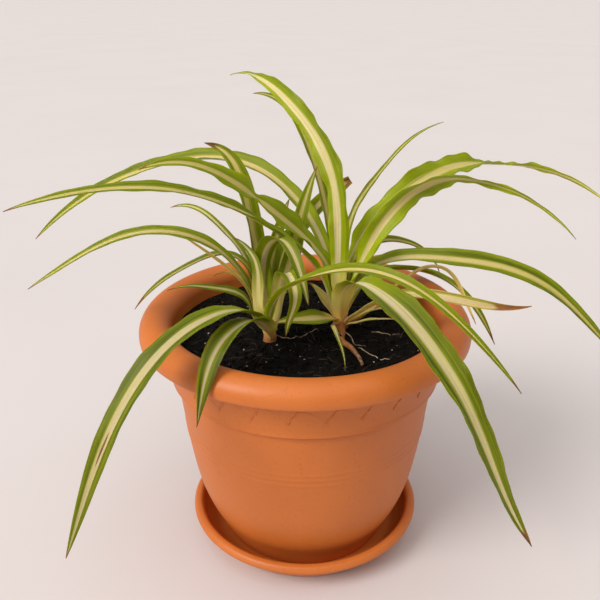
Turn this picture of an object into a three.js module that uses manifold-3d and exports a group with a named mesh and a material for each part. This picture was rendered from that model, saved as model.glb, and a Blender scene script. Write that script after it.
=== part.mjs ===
// A spider plant with two crowns in a round plastic pot on its saucer.
// Millimetres, +Z up. The origin is the middle of the saucer's underside; -Y is the front.

import * as THREE from "three";
import { mergeVertices } from "three/addons/utils/BufferGeometryUtils.js";
import Module from "manifold-3d";

const wasm = await Module();
wasm.setup();

// Driving dimensions
const GAP = 0.3; // between pieces that touch
const SEGMENTS = 48; // round the pot, the saucer and the soil

const SAUCER_FOOT_RADIUS = 66;
const SAUCER_LIP_RADIUS = 82;
const SAUCER_HEIGHT = 22;
const SAUCER_FLOOR = 3;

const POT_BASE = SAUCER_FLOOR + GAP;
const POT_FLOOR_TOP = 9.5;
const RIM_RADIUS = 110;
const RIM_TUBE = 11; // radius of the rim's rounded top
const RIM_LEVEL = 161.7; // height of that round's centre
const BAND_FOOT = 128; // the moulded step under the band
const DRAIN_RADIUS = 5.5;
const DRAIN_CIRCLE = 34;
const DRAIN_COUNT = 5;

const SOIL_LEVEL = 157;
const SOIL_DEPTH_ROUND_STEM = 28;
const LUMP_HEIGHT = 1.1;

const STEM_RADIUS = 6.9; // where it leaves the soil
const NECK_RADIUS = 5.9; // above the lowest leaves
const NECK_HEIGHT = 16.9;
const BLADE_THICKNESS = 0.8;
const BASE_FOLD = 0.3; // angle of each half of a blade above flat at its base, in radians
const FOLDED_FROM = 0.3; // place along a blade from which it is folded as far as it goes
const STATION_LENGTH = 15; // length of one stretch of a blade
const FEWEST_STATIONS = 6; // stretches of the shortest blades
const THINNEST_HALF = 0.35; // half the width of a blade's tip
const PATH_STEPS = 48; // straight steps in which a blade's middle line is laid out
const BASE_SHARE = 0.4; // width where a blade leaves the crown, as a share of its full width
const FULL_WIDTH_FROM = 0.45; // place along a blade where it has reached its full width
const TAPER_LENGTH = 0.5; // the last share of a blade, over which it tapers
const SLIM_STEP = 0.06; // share of its length on either side of where a blade grows slim
const SHEATH_HALF_WIDTH = 3; // half the room that a blade has at the crown
const SHEATH_SPREAD = 0.18; // how fast that room grows with the distance from the crown
const WAVE_PITCH = 0.13; // radians of an edge's wave for each millimetre of length

const CROWNS = {
  left: new THREE.Vector3(-23, -21, SOIL_LEVEL),
  right: new THREE.Vector3(24, 0, SOIL_LEVEL),
};

// Leaves grow from a crown in four rings, the oldest lowest and furthest out.
const RINGS = {
  low: { radius: 8.3, height: 2.6 },
  outer: { radius: 7.4, height: 7.0 },
  middle: { radius: 6.6, height: 12.0 },
  inner: { radius: 3.4, height: 17.4 },
};

const COLOURS = {
  terracotta: { color: 0xc07042, roughness: 0.55 },
  soil: { color: 0x2a211b, roughness: 0.95 },
  stem: { color: 0xc2a070, roughness: 0.7 },
  leaf: { color: 0x6f8420, roughness: 0.45 },
  dry: { color: 0xc8b070, roughness: 0.8 },
};

// The route of the thick root over the soil.
const ROOT_RADIUS = 1.5;
const ROOT_ROUTE = [
  [24, -3, 160],
  [24.2, -16, 160.4],
  [24.6, -26, 160.4],
  [28.7, -38.6, 160.4],
  [33, -50, 160.4],
  [33.8, -58, 160],
];

// Every leaf: the side of its crown that it grows from, its length and full width, its rise above level at
// five even steps from base to tip, its heading at base, middle and tip, and its roll at middle and tip.
// Angles are in degrees, headings counted from +X towards +Y. Where they aren't the common ones: the angle
// of its fold in radians, how blunt its end is (0 to 1), from where on it is slim and the share of its width
// that it keeps there, and the height in mm of the waves of its edges.
const LEAVES = [
  {
    name: "leaf_left_01", crown: "left", ring: "outer", side: 263,
    length: 229, width: 18, lift: 0.1, wave: 0.5,
    rise: [66, 11, -41, -61, -63], heading: [252, 216, 231], roll: [-6, -67],
  },
  {
    name: "leaf_left_02", crown: "left", ring: "low", side: 279,
    length: 123, width: 17, fold: 0.35,
    rise: [55, 40, -9, -54, -66], heading: [269, 234, 255], roll: [9, -78],
  },
  {
    name: "leaf_left_03", crown: "left", ring: "outer", side: 208,
    length: 79, width: 6, lift: -0.8,
    rise: [63, 78, 19, 8, -17], heading: [209, 190, 191], roll: [-37, 1],
  },
  {
    name: "leaf_left_04", crown: "left", ring: "outer", side: 134,
    length: 133, width: 8, lift: -0.3, fold: 0.5,
    rise: [77, 71, -16, -31, -53], heading: [129, 171, 196], roll: [-4, -59],
  },
  {
    name: "leaf_left_05", crown: "left", ring: "middle", side: 176,
    length: 184, width: 11, lift: -0.2, fold: 0.4,
    rise: [88, 50, 5, -25, -28], heading: [180, 182, 204], roll: [-19, -25],
  },
  {
    name: "leaf_left_06", crown: "left", ring: "low", side: 169,
    length: 92, width: 4, dry: true,
    rise: [88, 78, 44, 37, 35], heading: [170, 172, 180], roll: [-16, -33],
  },
  {
    name: "leaf_left_07", crown: "left", ring: "low", side: 100,
    length: 127, width: 9, lift: -0.1, fold: 0.4,
    rise: [47, 59, 31, 27, -23], heading: [116, 131, 164], roll: [26, -71],
  },
  {
    name: "leaf_left_08", crown: "left", ring: "middle", side: 220,
    length: 69, width: 9, lift: 0.3,
    rise: [100, 103, 94, 43, 20], heading: [62, 109, 156], roll: [-49, -91],
  },
  {
    name: "leaf_left_09", crown: "left", ring: "inner", side: -97,
    length: 115, width: 13, fold: 0.4,
    rise: [98, 92, 38, -45, -73], heading: [-13, -56, -52], roll: [-18, 56],
  },
  {
    name: "leaf_left_10", crown: "left", ring: "inner", side: 139,
    length: 123, width: 19, lift: 0.8, fold: 0.45,
    rise: [84, 59, 70, 65, 5], heading: [109, 122, 173], roll: [31, -96],
  },
  {
    name: "leaf_left_11", crown: "left", ring: "outer", side: 96,
    length: 62, width: 8, lift: -0.6,
    rise: [48, 44, 51, 54, 59], heading: [102, 78, 53], roll: [108, -22],
  },
  {
    name: "leaf_left_12", crown: "left", ring: "middle", side: 97,
    length: 83, width: 12, lift: 0.8, fold: 0.4,
    rise: [85, 59, 51, 54, 55], heading: [102, 74, 49], roll: [48, 30],
  },
  {
    name: "leaf_left_13", crown: "left", ring: "inner", side: 67,
    length: 101, width: 13, fold: 0.4,
    rise: [61, 52, 64, 66, 68], heading: [52, 61, 15], roll: [57, 41],
  },
  {
    name: "leaf_left_14", crown: "left", ring: "outer", side: 71,
    length: 123, width: 16, lift: 0.8, fold: 0.4, blunt: 1.0,
    rise: [60, 52, 35, 35, 31], heading: [84, 60, 10], roll: [8, 71],
  },
  {
    name: "leaf_left_15", crown: "left", ring: "middle", side: -97,
    length: 228, width: 9, fold: 0.6,
    rise: [60, 36, 19, -33, -53], heading: [-84, -42, -10], roll: [25, 68],
  },
  {
    name: "leaf_left_16", crown: "left", ring: "low", side: 326,
    length: 107, width: 12, lift: -0.1, fold: 0.5,
    rise: [99, 82, 35, -103, -96], heading: [331, 289, 342], roll: [0, 74],
  },
  {
    name: "leaf_left_17", crown: "left", ring: "low", side: 132,
    length: 59, width: 4, lift: 0.8, dry: true,
    rise: [65, 79, 56, 23, -30], heading: [112, 154, 197], roll: [-13, -27],
  },
  {
    name: "leaf_right_01", crown: "right", ring: "inner", side: 220,
    length: 222, width: 16, lift: 0.9, fold: 0.35, wave: 1.0,
    rise: [97, 86, 44, 19, -15], heading: [97, 128, 125], roll: [-75, 8],
  },
  {
    name: "leaf_right_02", crown: "right", ring: "outer", side: 101,
    length: 174, width: 12, fold: 0.4,
    rise: [69, 69, 65, 55, -7], heading: [97, 127, 157], roll: [18, -83],
  },
  {
    name: "leaf_right_03", crown: "right", ring: "low", side: 91,
    length: 175, width: 6, lift: -0.1, fold: 0.5,
    rise: [60, 71, 34, 38, 14], heading: [86, 54, 13], roll: [-4, 43],
  },
  {
    name: "leaf_right_04", crown: "right", ring: "inner", side: 47,
    length: 287, width: 20, lift: 0.8, fold: 0.5, slim: [0.52, 0.45], wave: 1.0,
    rise: [96, 39, -3, -13, -41], heading: [-14, 40, -21], roll: [21, -133],
  },
  {
    name: "leaf_right_05", crown: "right", ring: "inner", side: -74,
    length: 230, width: 17, fold: 0.55, slim: [0.5, 0.45], wave: 0.8,
    rise: [69, 62, 0, -21, -41], heading: [-43, 35, -47], roll: [111, 88],
  },
  {
    name: "leaf_right_06", crown: "right", ring: "outer", side: -6,
    length: 232, width: 15, lift: 0.8, fold: 0.7,
    rise: [106, 14, -6, -42, -46], heading: [-3, -15, 11], roll: [43, 58],
  },
  {
    name: "leaf_right_07", crown: "right", ring: "middle", side: 123,
    length: 321, width: 18, lift: 0.7, fold: 0.6, wave: 0.5,
    rise: [87, 37, -7, -25, -45], heading: [131, 155, 186], roll: [-17, -66],
  },
  {
    name: "leaf_right_08", crown: "right", ring: "inner", side: 128,
    length: 179, width: 17, lift: 0.2, fold: 0.5, wave: 0.8,
    rise: [85, 49, 40, 30, -20], heading: [159, 219, 194], roll: [-54, -43],
  },
  {
    name: "leaf_right_09", crown: "right", ring: "outer", side: 208,
    length: 244, width: 15, lift: -0.3, fold: 0.4, wave: 0.6,
    rise: [90, 45, 28, 2, -16], heading: [213, 205, 194], roll: [-12, -30],
  },
  {
    name: "leaf_right_10", crown: "right", ring: "outer", side: 263,
    length: 255, width: 24, lift: 0.3, fold: 0.42, wave: 1.0,
    rise: [83, 11, -37, -64, -57], heading: [274, 313, 351], roll: [4, 44],
  },
  {
    name: "leaf_right_11", crown: "right", ring: "low", side: 56,
    length: 166, width: 12, fold: 0.6,
    rise: [75, 8, -19, -46, -66], heading: [59, 14, -29], roll: [-9, 95],
  },
  {
    name: "leaf_right_12", crown: "right", ring: "low", side: 19,
    length: 116, width: 6, lift: 0.8, dry: true,
    rise: [40, 41, 32, -53, -47], heading: [11, -16, -58], roll: [-4, 36],
  },
  {
    name: "leaf_right_13", crown: "right", ring: "low", side: 303,
    length: 133, width: 13, lift: 0.8, fold: 0.5, dry: true,
    rise: [62, 33, 7, -7, 3], heading: [313, 334, 375], roll: [10, 71],
  },
  {
    name: "leaf_right_14", crown: "right", ring: "low", side: 344,
    length: 31, width: 8, lift: 0.9, dry: true,
    rise: [43, 45, 44, 28, 6], heading: [352, 342, 345], roll: [24, 28],
  },
  {
    name: "leaf_right_15", crown: "right", ring: "middle", side: 64,
    length: 109, width: 9, lift: -0.2, fold: 0.4,
    rise: [80, 72, 9, -27, -69], heading: [54, 15, 0], roll: [17, 33],
  },
  {
    name: "leaf_right_16", crown: "right", ring: "outer", side: 56,
    length: 73, width: 8, lift: 0.8, fold: 0.5, dry: true,
    rise: [64, 81, 24, 5, 18], heading: [63, 22, 14], roll: [13, 45],
  },
  {
    name: "leaf_right_17", crown: "right", ring: "low", side: 234,
    length: 57, width: 14, lift: 0.9, fold: 0.35,
    rise: [68, 25, 15, 9, -9], heading: [243, 222, 195], roll: [-26, -20],
  },
  {
    name: "leaf_right_18", crown: "right", ring: "low", side: 125,
    length: 32, width: 10, lift: 0.9, fold: 0.4,
    rise: [74, 54, 57, 56, 34], heading: [136, 181, 200], roll: [-29, -24],
  },
  {
    name: "leaf_right_19", crown: "right", ring: "low", side: 246,
    length: 63, width: 4, lift: -0.5, dry: true,
    rise: [28, 31, -17, -16, -22], heading: [246, 284, 266], roll: [21, 25],
  },
];

// A closed mesh with shared corners and no empty triangles, as the cuts and joins need it.
function weld(geometry) {
  const bare = geometry.clone();
  for (const name of ["normal", "uv"]) {
    bare.deleteAttribute(name);
  }
  const merged = mergeVertices(bare, 1e-4);
  const kept = [];
  const index = merged.index.array;
  for (let i = 0; i < index.length; i += 3) {
    const [a, b, c] = [index[i], index[i + 1], index[i + 2]];
    if (a !== b && b !== c && c !== a) {
      kept.push(a, b, c);
    }
  }
  merged.setIndex(kept);
  return merged;
}

function toManifold(geometry) {
  const closed = weld(geometry);
  return new wasm.Manifold(new wasm.Mesh({
    numProp: 3,
    vertProperties: new Float32Array(closed.attributes.position.array),
    triVerts: new Uint32Array(closed.index.array),
  }));
}

function toGeometry(manifold) {
  const mesh = manifold.getMesh();
  const geometry = new THREE.BufferGeometry();
  geometry.setAttribute("position", new THREE.BufferAttribute(mesh.vertProperties.slice(), 3));
  geometry.setIndex(new THREE.BufferAttribute(mesh.triVerts.slice(), 1));
  return geometry;
}

// Turns a profile of [radius, height] round the upright axis.
function turned(profile, segments = SEGMENTS) {
  const points = profile.map(([radius, height]) => new THREE.Vector2(radius, height));
  const geometry = new THREE.LatheGeometry(points, segments);
  return geometry.rotateX(Math.PI / 2);
}

// Points on a round stretch of a profile, angles in degrees.
function arc(radius, height, size, from, to, count) {
  return Array.from({ length: count + 1 }, (unused, i) => {
    const angle = THREE.MathUtils.degToRad(from + ((to - from) * i) / count);
    return [radius + size * Math.cos(angle), height + size * Math.sin(angle)];
  });
}

function named(name, geometry, look) {
  const finished = geometry.toNonIndexed();
  finished.computeVertexNormals();
  const mesh = new THREE.Mesh(finished, new THREE.MeshStandardMaterial(look));
  mesh.name = name;
  return mesh;
}

// The saucer: a shallow round tray with a flat underside and a beaded lip.
function saucer() {
  const bead = 1.8;
  const lip = SAUCER_LIP_RADIUS;
  const top = SAUCER_HEIGHT;
  return turned([
    [0, 0],
    [SAUCER_FOOT_RADIUS - 1, 0],
    [SAUCER_FOOT_RADIUS, 0.8],
    [72, 7],
    [76.6, 13],
    [78.8, top - 5.4],
    [lip - 1.2, top - 5.2],
    [lip, top - 4],
    ...arc(lip - bead, top - bead, bead, 0, 90, 2),
    [76.6, top],
    [75.4, top - 1.2],
    [73.6, 14],
    [69.6, 7.6],
    [64.5, SAUCER_FLOOR],
    [0, SAUCER_FLOOR],
  ]);
}

// Outside and inside radii of the pot's body, bottom to top.
const BODY = [
  [58, POT_BASE + 1.6],
  [63.6, 17],
  [70.6, 32],
  [76.4, 50],
  [80.6, 72],
  [83.9, 97],
  [87.2, BAND_FOOT - 1.6],
];
const INNER_WALL = [
  [87.4, RIM_LEVEL - 4],
  [85.4, 138],
  [83.4, 118],
  [80.4, 93],
  [76.2, 66],
  [70, 42],
  [62, 20],
  [56, POT_FLOOR_TOP],
];

// The pot: a bell-shaped body, a flared band, a rolled rim that is hollow beneath, a foot ring and
// drain holes.
function pot() {
  const lipRadius = RIM_RADIUS - 2.4;
  const lipBottom = RIM_LEVEL - 4.2;
  const rimMiddle = RIM_RADIUS - RIM_TUBE;
  const profile = [
    [0, POT_BASE + 3],
    [52, POT_BASE + 3],
    [53, POT_BASE],
    [57, POT_BASE],
    ...BODY,
    [88.4, BAND_FOOT],
    [90.8, BAND_FOOT + 1],
    [90.4, BAND_FOOT + 3],
    [91.4, 141],
    [93.4, 151],
    [95.2, lipBottom + 0.4],
    ...arc(rimMiddle + 0.6, RIM_LEVEL + 1, 5, 160, 20, 3),
    [lipRadius - 3, lipBottom],
    [lipRadius, lipBottom],
    ...arc(rimMiddle, RIM_LEVEL, RIM_TUBE, -6, 180, 8),
    ...INNER_WALL,
    [0, POT_FLOOR_TOP],
  ];
  let body = toManifold(turned(profile));
  for (let i = 0; i < DRAIN_COUNT; i += 1) {
    const angle = (i / DRAIN_COUNT) * Math.PI * 2;
    const hole = new THREE.CylinderGeometry(DRAIN_RADIUS, DRAIN_RADIUS, 3 * POT_FLOOR_TOP, 12);
    hole.rotateX(Math.PI / 2);
    hole.translate(DRAIN_CIRCLE * Math.cos(angle), DRAIN_CIRCLE * Math.sin(angle), POT_FLOOR_TOP);
    body = body.subtract(toManifold(hole));
  }
  return toGeometry(body);
}

// Height of the lumps of potting mix at a place, fading out towards the pot's wall.
function lump(x, y) {
  const away = Math.hypot(x, y);
  const fade = THREE.MathUtils.smoothstep(80 - away, 0, 20);
  const waves = Math.sin(x * 0.11 + 1.3) * Math.cos(y * 0.13) + 0.6 * Math.sin(x * 0.23 - y * 0.19);
  return LUMP_HEIGHT * fade * waves * 0.6;
}

// The potting mix: it fills the pot to just below the rim, with a plain hole for each crown's stem.
function soil() {
  const wall = [...INNER_WALL].reverse().map(([radius, height]) => [radius - GAP - 0.05, height]);
  wall[0][1] = POT_FLOOR_TOP + GAP;
  const top = [78, 62, 45, 30, 15, 0].map((radius) => [radius, SOIL_LEVEL]);
  const geometry = weld(turned([[0, POT_FLOOR_TOP + GAP], ...wall, ...top]));
  const place = geometry.attributes.position;
  for (let i = 0; i < place.count; i += 1) {
    if (Math.abs(place.getZ(i) - SOIL_LEVEL) < 0.01) {
      place.setZ(i, SOIL_LEVEL + lump(place.getX(i), place.getY(i)));
    }
  }
  let mix = toManifold(geometry);
  for (const centre of Object.values(CROWNS)) {
    const radius = STEM_RADIUS + GAP;
    const depth = SOIL_DEPTH_ROUND_STEM + 1;
    const hole = turned([[0, -depth], [radius, -depth], [radius, 9], [0, 9]], 20);
    hole.translate(centre.x, centre.y, centre.z);
    mix = mix.subtract(toManifold(hole));
  }
  return toGeometry(mix);
}

// A crown: the short stem with its clasping leaf bases, above and below the soil.
function crown(name) {
  const centre = CROWNS[name];
  const stem = turned([
    [0, -SOIL_DEPTH_ROUND_STEM],
    [4.4, -SOIL_DEPTH_ROUND_STEM + 1.5],
    [6.2, -12],
    [STEM_RADIUS, -1],
    [STEM_RADIUS, 5.5],
    [NECK_RADIUS, 6.3],
    [NECK_RADIUS, 10.7],
    [NECK_RADIUS - 0.8, 11.5],
    [NECK_RADIUS - 0.9, NECK_HEIGHT - 1.5],
    [NECK_RADIUS - 2, NECK_HEIGHT],
    [0, NECK_HEIGHT],
  ], 20);
  stem.translate(centre.x, centre.y, centre.z);
  if (name !== "right") {
    return stem;
  }
  return toGeometry(toManifold(stem).add(toManifold(root())));
}

// The one thick root that has come up beside the right crown and runs over the soil.
function root() {
  const places = ROOT_ROUTE.map((place) => new THREE.Vector3(...place));
  const route = new THREE.CatmullRomCurve3(places);
  const section = new THREE.Shape().absarc(0, 0, ROOT_RADIUS, 0, Math.PI * 2);
  return new THREE.ExtrudeGeometry(section, {
    steps: 12,
    curveSegments: 8,
    bevelEnabled: false,
    extrudePath: route,
  });
}

// The value at t (0 to 1) of a smooth curve through values at even steps.
function smooth(values, t) {
  const last = values.length - 1;
  const before = 2 * values[0] - values[1];
  const after = 2 * values[last] - values[last - 1];
  const i = Math.min(Math.floor(t * last), last - 1);
  const f = t * last - i;
  const [a, b, c, d] = [before, ...values, after].slice(i, i + 4);
  return b + 0.5 * f * (c - a + f * (2 * a - 5 * b + 4 * c - d + f * (3 * (b - c) + d - a)));
}

// Half the width of a blade: narrow where it clasps the crown, full by the middle, tapering to a point
// or to the leaf's own blunt end.
function halfWidth(leaf, t) {
  const opening = Math.sin((Math.PI / 2) * Math.min(t / FULL_WIDTH_FROM, 1));
  const grow = BASE_SHARE + (1 - BASE_SHARE) * opening;
  const point = Math.min((1 - t) / TAPER_LENGTH, 1) ** 0.7;
  const blunt = (leaf.blunt ?? 0) * Math.max(1 - t, 0.02) ** 0.2;
  const [slimFrom, slimTo] = leaf.slim ?? [1, 1];
  const slim = THREE.MathUtils.smoothstep(t, slimFrom - SLIM_STEP, slimFrom + SLIM_STEP);
  const half = (leaf.width / 2) * grow * Math.max(point, blunt, 0.03) * (1 - (1 - slimTo) * slim);
  const room = SHEATH_HALF_WIDTH + SHEATH_SPREAD * t * leaf.length;
  return Math.max(Math.min(half, room), THINNEST_HALF);
}

// Angle of each half of a blade above flat: the common one at its base, its own from FOLDED_FROM on.
function foldAt(leaf, t) {
  const share = THREE.MathUtils.smoothstep(t, 0, FOLDED_FROM);
  return BASE_FOLD + ((leaf.fold ?? BASE_FOLD) - BASE_FOLD) * share;
}

// A blade: a thin strip that runs at the leaf's rise and heading, folded along its middle and rolled
// about its own length, with waved edges where the leaf has them.
function blade(leaf) {
  const stations = Math.max(FEWEST_STATIONS, Math.round(leaf.length / STATION_LENGTH));
  const ring = RINGS[leaf.ring];
  const start = THREE.MathUtils.degToRad(leaf.side);
  const place = CROWNS[leaf.crown].clone().add(new THREE.Vector3(
    ring.radius * Math.cos(start),
    ring.radius * Math.sin(start),
    ring.height + (leaf.lift ?? 0),
  ));
  const angles = (t) => {
    const rise = THREE.MathUtils.degToRad(smooth(leaf.rise, t));
    const head = THREE.MathUtils.degToRad(smooth(leaf.heading, t));
    return [rise, head];
  };
  const path = [place.clone()];
  for (let i = 0; i < PATH_STEPS; i += 1) {
    const [rise, head] = angles((i + 0.5) / PATH_STEPS);
    const level = Math.cos(rise);
    const step = new THREE.Vector3(level * Math.cos(head), level * Math.sin(head), Math.sin(rise));
    place.addScaledVector(step, leaf.length / PATH_STEPS);
    path.push(place.clone());
  }
  const corners = [];
  for (let i = 0; i <= stations; i += 1) {
    const t = i / stations;
    const [rise, head] = angles(t);
    const roll = THREE.MathUtils.degToRad(smooth([0, ...leaf.roll], t));
    const flat = new THREE.Vector3(-Math.sin(head), Math.cos(head), 0);
    const raised = new THREE.Vector3(
      -Math.sin(rise) * Math.cos(head),
      -Math.sin(rise) * Math.sin(head),
      Math.cos(rise),
    );
    const across = flat.clone().multiplyScalar(Math.cos(roll)).addScaledVector(raised, Math.sin(roll));
    const up = raised.clone().multiplyScalar(Math.cos(roll)).addScaledVector(flat, -Math.sin(roll));
    const x = t * PATH_STEPS;
    const low = Math.min(Math.floor(x), PATH_STEPS - 1);
    const middle = path[low].clone().lerp(path[low + 1], x - low);
    const half = halfWidth(leaf, t);
    const fold = foldAt(leaf, t);
    const swell = (leaf.wave ?? 0) * Math.sin(Math.PI * t);
    for (const face of [0.5, -0.5]) {
      for (const edge of [-1, 0, 1]) {
        const wave = edge * edge * swell * Math.sin(leaf.length * t * WAVE_PITCH + edge * 1.1);
        const lift = half * Math.abs(edge) * Math.sin(fold) + wave + face * BLADE_THICKNESS;
        corners.push(middle.clone()
          .addScaledVector(across, half * edge * Math.cos(fold))
          .addScaledVector(up, lift));
      }
    }
  }
  const index = [];
  const quad = (a, b, c, d) => index.push(a, b, c, a, c, d);
  for (let i = 0; i < stations; i += 1) {
    const here = i * 6;
    const next = here + 6;
    for (const half of [0, 1]) {
      quad(here + half, next + half, next + half + 1, here + half + 1);
      index.push(here + 3 + half, next + 4 + half, next + 3 + half);
      index.push(here + 3 + half, here + 4 + half, next + 4 + half);
    }
    quad(here, here + 3, next + 3, next);
    quad(here + 2, next + 2, next + 5, here + 5);
  }
  const end = stations * 6;
  for (const half of [0, 1]) {
    quad(half, half + 1, half + 4, half + 3);
    quad(end + half, end + half + 3, end + half + 4, end + half + 1);
  }
  const numbers = corners.flatMap((corner) => corner.toArray());
  const geometry = new THREE.BufferGeometry();
  geometry.setAttribute("position", new THREE.Float32BufferAttribute(numbers, 3));
  geometry.setIndex(index);
  return geometry;
}

const plant = new THREE.Group();
plant.add(named("saucer", saucer(), COLOURS.terracotta));
plant.add(named("pot", pot(), COLOURS.terracotta));
plant.add(named("soil", soil(), COLOURS.soil));
for (const name of Object.keys(CROWNS)) {
  plant.add(named(`crown_${name}`, crown(name), COLOURS.stem));
}
for (const leaf of LEAVES) {
  plant.add(named(leaf.name, blade(leaf), leaf.dry ? COLOURS.dry : COLOURS.leaf));
}

export default plant;
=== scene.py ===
# A variegated spider plant with two crowns, in a round terracotta-coloured plastic pot on its saucer.
# Metres, +Z up. The origin is the middle of the saucer's underside and -Y is the front.
import math

import bpy
import numpy as np
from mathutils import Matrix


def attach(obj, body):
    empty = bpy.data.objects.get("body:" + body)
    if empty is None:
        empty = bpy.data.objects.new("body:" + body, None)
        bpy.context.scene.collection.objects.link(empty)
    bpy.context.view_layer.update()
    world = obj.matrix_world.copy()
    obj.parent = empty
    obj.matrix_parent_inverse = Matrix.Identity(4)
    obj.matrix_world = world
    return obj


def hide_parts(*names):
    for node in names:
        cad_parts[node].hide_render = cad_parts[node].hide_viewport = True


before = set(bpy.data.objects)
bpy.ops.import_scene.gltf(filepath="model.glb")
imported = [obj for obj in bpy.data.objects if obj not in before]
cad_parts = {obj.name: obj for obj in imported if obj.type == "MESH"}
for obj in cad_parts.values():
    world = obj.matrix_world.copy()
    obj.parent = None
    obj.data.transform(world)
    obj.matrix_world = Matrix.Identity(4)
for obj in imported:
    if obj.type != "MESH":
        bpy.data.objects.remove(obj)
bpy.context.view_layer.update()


# The view: from in front of the pot and above it, looking down on the potting mix, as the plant is
# photographed.

MM = 0.001
LOOK_DOWN = 0.412  # radians

camera = bpy.data.objects.new("camera", bpy.data.cameras.new("camera"))
camera.location = (-3.4 * MM, -445 * MM, 371.6 * MM)
camera.rotation_euler = (math.pi / 2 - LOOK_DOWN, 0, 0)
camera.data.lens = 43.7
camera.data.clip_end = 20
bpy.context.collection.objects.link(camera)
bpy.context.scene.camera = camera


# The saucer: a round tray of moulded plastic with a flat foot and a broad rolled lip. The pot
# stands loose in it.

class Wire:
    """One output of a shader node. Sums and products of wires and numbers add their Math nodes."""

    def __init__(self, tree, socket=None):
        self.tree = tree
        self.socket = socket

    def add(self, kind, settings=None, sockets=None, output=0):
        """Adds a node: first its settings, then the value or the wire of each socket."""
        node = self.tree.nodes.new(kind)
        for name, value in (settings or {}).items():
            setattr(node, name, value)
        for name, value in (sockets or {}).items():
            if isinstance(value, Wire):
                self.tree.links.new(value.socket, node.inputs[name])
            else:
                node.inputs[name].default_value = value
        return Wire(self.tree, node.outputs[output])

    def reckon(self, operation, *values):
        """A Math node on these values or wires."""
        return self.add("ShaderNodeMath", {"operation": operation}, dict(enumerate(values)))

    def __add__(self, other):
        return self.reckon("ADD", self, other)

    def __sub__(self, other):
        return self.reckon("SUBTRACT", self, other)

    def __rsub__(self, other):
        return self.reckon("SUBTRACT", other, self)

    def __mul__(self, other):
        return self.reckon("MULTIPLY", self, other)

    __radd__ = __add__
    __rmul__ = __mul__

    def rises(self, low, high):
        """0 below low and 1 above high, with a soft step between them; low may be the higher one."""
        return self.add(
            "ShaderNodeMapRange",
            {"interpolation_type": "SMOOTHSTEP"},
            {"Value": self, "From Min": low, "From Max": high},
        )

    def between(self, first, second):
        """The first colour where this value is 0 and the second where it is 1."""
        return self.add("ShaderNodeMix", {"data_type": "RGBA"}, {0: self, 6: first, 7: second}, 2)

    def part(self, axis):
        """The X, Y or Z of a vector."""
        return self.add("ShaderNodeSeparateXYZ", None, {0: self}, axis)

    def stretched(self, x, y, z):
        """A vector with each of its three parts multiplied."""
        return self.add("ShaderNodeVectorMath", {"operation": "MULTIPLY"}, {0: self, 1: (x, y, z)})

    def noise(self, scale, detail=3.0, rough=0.5):
        """Cloudy noise at this place, about 0.5 on average."""
        settings = {"Vector": self, "Scale": scale, "Detail": detail, "Roughness": rough}
        return self.add("ShaderNodeTexNoise", None, settings, "Fac")

    def bump(self, strength, depth):
        """A normal for a surface whose height is this value times the depth in metres."""
        return self.add("ShaderNodeBump", None, {"Strength": strength, "Distance": depth, "Height": self})


def colour(red, green, blue):
    """A colour given in the 0 to 255 steps of a screen, as the linear values that a shader takes."""
    steps = np.array([red, green, blue]) / 255
    linear = np.where(steps > 0.04045, ((steps + 0.055) / 1.055) ** 2.4, steps / 12.92)
    return (*map(float, linear), 1.0)


def new_material(name):
    """A material and a loose wire, from which its nodes are added."""
    material = bpy.data.materials.new(name)
    material.use_nodes = True
    return material, Wire(material.node_tree)


def set_surface(material, sockets):
    """Sets or wires sockets of the material's own shader."""
    shader = material.node_tree.nodes["Principled BSDF"]
    for name, value in sockets.items():
        if isinstance(value, Wire):
            material.node_tree.links.new(value.socket, shader.inputs[name])
        else:
            shader.inputs[name].default_value = value


def terracotta_plastic():
    """Satin plastic coloured as fired clay: faintly clouded, with a fine moulded grain, a dusting of
    potting mix inside the rim and a few pale water marks."""
    material, start = new_material("terracotta plastic")
    place = start.add("ShaderNodeTexCoord", output="Object")
    clouds = place.noise(14, 4).rises(0.3, 0.7)
    specks = place.noise(420, 2).rises(0.58, 0.72)
    body = clouds.between(colour(193, 104, 40), colour(205, 113, 46))
    body = (specks * 0.35).between(body, colour(180, 93, 36))
    # The dust lies inside the wall, from above the band's foot to 7 mm above the potting mix.
    level = place.part(2)
    dust = place.noise(260, 5, 0.7).rises(0.6, 0.74) * level.rises(0.164, 0.158)
    flat_place = place.stretched(1, 1, 0)
    away = flat_place.add("ShaderNodeVectorMath", {"operation": "LENGTH"}, {0: flat_place}, 1)
    inside = away.rises(0.0895, 0.0875) * level.rises(0.14, 0.15)
    body = (dust * inside).between(body, colour(60, 42, 32))
    marks = place.stretched(1, 1, 0.25).noise(30, 6, 0.65).rises(0.64, 0.8) * 0.3
    body = marks.between(body, colour(216, 142, 94))
    grain = place.noise(900, 2) * 0.6 + place.noise(120, 3) * 0.4
    set_surface(material, {
        "Base Color": body,
        "Roughness": 0.4 + 0.12 * clouds + 0.1 * marks,
        "Specular IOR Level": 0.42,
        "Normal": grain.bump(0.25, 0.0002),
    })
    return material


def grid_faces(rows, columns):
    """Corner numbers of the quads between the rows of a grid, each row of which is a closed ring: a quad
    joins a point and the next one in its row to the same two in the next row."""
    row, column = np.meshgrid(np.arange(rows - 1), np.arange(columns), indexing="ij")
    after = (column + 1) % columns
    quads = [row * columns + column, row * columns + after]
    quads += [(row + 1) * columns + after, (row + 1) * columns + column]
    return np.stack(quads, -1).reshape(-1, 4)


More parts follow.
